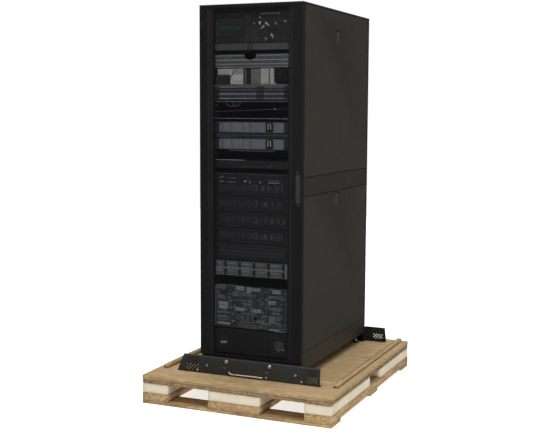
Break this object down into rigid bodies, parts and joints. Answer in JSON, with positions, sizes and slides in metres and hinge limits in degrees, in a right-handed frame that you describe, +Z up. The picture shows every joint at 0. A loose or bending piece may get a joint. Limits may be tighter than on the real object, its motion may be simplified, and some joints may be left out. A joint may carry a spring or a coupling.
{
  "type": "rack power cabinet on a pallet",
  "caption": "Tall black power and network cabinet with a perforated front door, half-height side panels and rack units inside, bolted by steel brackets to a foam-padded wooden pallet.",
  "frame": {"origin": "centre of the pallet's underside, on the floor", "axes": "+Z up; the cabinet's front door faces -Y, and +X is the right-hand side for someone facing the door"},
  "size_m": [1.1, 1.38, 2.149],
  "materials": {
    "pallet_wood": "rough sawn and sanded plywood",
    "foam": "cut closed-cell foam",
    "bracket_steel": "dark satin powder coat",
    "frame_black": "fine textured black powder coat",
    "door_mesh": "black powder coat on perforated sheet",
    "side_panel": "warm black satin powder coat",
    "handle_black": "satin moulded",
    "zinc": "zinc plated",
    "caster_tyre": "matte",
    "rail_steel": "black",
    "network_dark": "satin dark grey",
    "grey_bezel": "satin blue grey",
    "module_dark": "satin black",
    "shelf_steel": "black",
    "light_case": "light warm grey"
  },
  "bodies": {
    "cabinet_on_pallet": {"battery_shelf": "grey_bezel", "bracket_front": "bracket_steel", "bracket_rear": "bracket_steel", "console_drawer": "network_dark", "control_unit_lower": "grey_bezel", "control_unit_upper": "grey_bezel", "device_shelf": "shelf_steel", "distribution_unit": "network_dark", "foam_pad_centre_front": "foam", "foam_pad_centre_rear": "foam", "foam_pad_left_front": "foam", "foam_pad_left_rear": "foam", "foam_pad_right_front": "foam", "foam_pad_right_rear": "foam", "frame_base": "frame_black", "frame_top": "frame_black", "module_chassis": "module_dark", "pallet_deck": "pallet_wood", "pallet_skid": "pallet_wood", "patch_panel": "network_dark", "power_module_1": "module_dark", "power_module_2": "module_dark", "power_module_3": "module_dark", "power_module_4": "module_dark", "rack_rail_front_left": "rail_steel", "rack_rail_front_right": "rail_steel", "rack_rail_rear_left": "rail_steel", "rack_rail_rear_right": "rail_steel", "roof_panel": "frame_black", "shelf_unit_left": "light_case", "shelf_unit_right": "light_case", "side_frame_left": "frame_black", "side_frame_right": "frame_black", "switch_block": "network_dark", "switch_stack": "network_dark", "ups_bezel": "module_dark", "ups_chassis": "module_dark"},
    "front_door": {"front_door_frame": "frame_black", "door_mesh": "door_mesh", "handle_base": "handle_black"},
    "handle_hub": {"handle_hub": "handle_black"},
    "handle_lever": {"handle_lever": "handle_black"},
    "rear_door_left": {"rear_door_left": "frame_black"},
    "rear_door_right": {"rear_door_right": "frame_black"},
    "rear_handle": {"rear_handle": "handle_black"},
    "caster_fork_left": {"caster_fork_left": "zinc"},
    "caster_fork_right": {"caster_fork_right": "zinc"},
    "ups_power_button": {"ups_power_button": "grey_bezel"},
    "caster_wheel_front_left": {"caster_wheel_front_left": "caster_tyre"},
    "caster_wheel_front_right": {"caster_wheel_front_right": "caster_tyre"},
    "caster_wheel_rear_left": {"caster_wheel_rear_left": "caster_tyre"},
    "caster_wheel_rear_right": {"caster_wheel_rear_right": "caster_tyre"},
    "side_panel_left_upper": {"side_panel_left_upper": "side_panel"},
    "side_latch_left_upper": {"side_latch_left_upper": "handle_black"},
    "side_panel_left_lower": {"side_panel_left_lower": "side_panel"},
    "side_latch_left_lower": {"side_latch_left_lower": "handle_black"},
    "side_panel_right_upper": {"side_panel_right_upper": "side_panel"},
    "side_latch_right_upper": {"side_latch_right_upper": "handle_black"},
    "side_panel_right_lower": {"side_panel_right_lower": "side_panel"},
    "side_latch_right_lower": {"side_latch_right_lower": "handle_black"}
  },
  "joints": [
    {"name": "front_door_hinge", "type": "hinge", "parent": "cabinet_on_pallet", "child": "front_door", "pos_m": [-0.3, -0.4625, 1.2], "axis": [0, 0, -1], "range_deg": [0, 135]},
    {"name": "handle_turn", "type": "hinge", "parent": "front_door", "child": "handle_hub", "pos_m": [0.28, -0.485, 1.272], "axis": [0, 1, 0], "range_deg": [0, 90]},
    {"name": "handle_swing_out", "type": "hinge", "parent": "handle_hub", "child": "handle_lever", "pos_m": [0.28, -0.4966, 1.254], "axis": [-1, 0, 0], "range_deg": [0, 60]},
    {"name": "rear_door_left_hinge", "type": "hinge", "parent": "cabinet_on_pallet", "child": "rear_door_left", "pos_m": [-0.3, 0.5625, 1.2], "axis": [0, 0, 1], "range_deg": [0, 120]},
    {"name": "rear_door_right_hinge", "type": "hinge", "parent": "cabinet_on_pallet", "child": "rear_door_right", "pos_m": [0.3, 0.5625, 1.2], "axis": [0, 0, -1], "range_deg": [0, 120]},
    {"name": "rear_handle_turn", "type": "hinge", "parent": "rear_door_right", "child": "rear_handle", "pos_m": [0.04, 0.5833, 1.235], "axis": [0, -1, 0], "range_deg": [0, 90]},
    {"name": "power_button_press", "type": "slide", "parent": "cabinet_on_pallet", "child": "ups_power_button", "axis": [0, 1, 0], "range_m": [0, 0.0015], "stiffness_N_per_m": 400},
    {"name": "caster_swivel_left", "type": "hinge", "parent": "cabinet_on_pallet", "child": "caster_fork_left", "pos_m": [-0.212, -0.368, 0.2305], "axis": [0, 0, 1], "continuous": true},
    {"name": "caster_roll_front_left", "type": "hinge", "parent": "caster_fork_left", "child": "caster_wheel_front_left", "pos_m": [-0.212, -0.352, 0.1843], "axis": [1, 0, 0], "continuous": true},
    {"name": "caster_roll_rear_left", "type": "hinge", "parent": "cabinet_on_pallet", "child": "caster_wheel_rear_left", "pos_m": [-0.212, 0.481, 0.1843], "axis": [1, 0, 0], "continuous": true},
    {"name": "caster_swivel_right", "type": "hinge", "parent": "cabinet_on_pallet", "child": "caster_fork_right", "pos_m": [0.212, -0.368, 0.2305], "axis": [0, 0, 1], "continuous": true},
    {"name": "caster_roll_front_right", "type": "hinge", "parent": "caster_fork_right", "child": "caster_wheel_front_right", "pos_m": [0.212, -0.352, 0.1843], "axis": [1, 0, 0], "continuous": true},
    {"name": "caster_roll_rear_right", "type": "hinge", "parent": "cabinet_on_pallet", "child": "caster_wheel_rear_right", "pos_m": [0.212, 0.481, 0.1843], "axis": [1, 0, 0], "continuous": true},
    {"name": "panel_pull_left_upper", "type": "slide", "parent": "cabinet_on_pallet", "child": "side_panel_left_upper", "axis": [-1, 0, 0], "range_m": [0, 0.15]},
    {"name": "latch_slide_left_upper", "type": "slide", "parent": "side_panel_left_upper", "child": "side_latch_left_upper", "axis": [0, 0, 1], "range_m": [0, 0.009]},
    {"name": "panel_pull_left_lower", "type": "slide", "parent": "cabinet_on_pallet", "child": "side_panel_left_lower", "axis": [-1, 0, 0], "range_m": [0, 0.15]},
    {"name": "latch_slide_left_lower", "type": "slide", "parent": "side_panel_left_lower", "child": "side_latch_left_lower", "axis": [0, 0, 1], "range_m": [0, 0.009]},
    {"name": "panel_pull_right_upper", "type": "slide", "parent": "cabinet_on_pallet", "child": "side_panel_right_upper", "axis": [1, 0, 0], "range_m": [0, 0.15]},
    {"name": "latch_slide_right_upper", "type": "slide", "parent": "side_panel_right_upper", "child": "side_latch_right_upper", "axis": [0, 0, 1], "range_m": [0, 0.009]},
    {"name": "panel_pull_right_lower", "type": "slide", "parent": "cabinet_on_pallet", "child": "side_panel_right_lower", "axis": [1, 0, 0], "range_m": [0, 0.15]},
    {"name": "latch_slide_right_lower", "type": "slide", "parent": "side_panel_right_lower", "child": "side_latch_right_lower", "axis": [0, 0, 1], "range_m": [0, 0.009]}
  ]
}
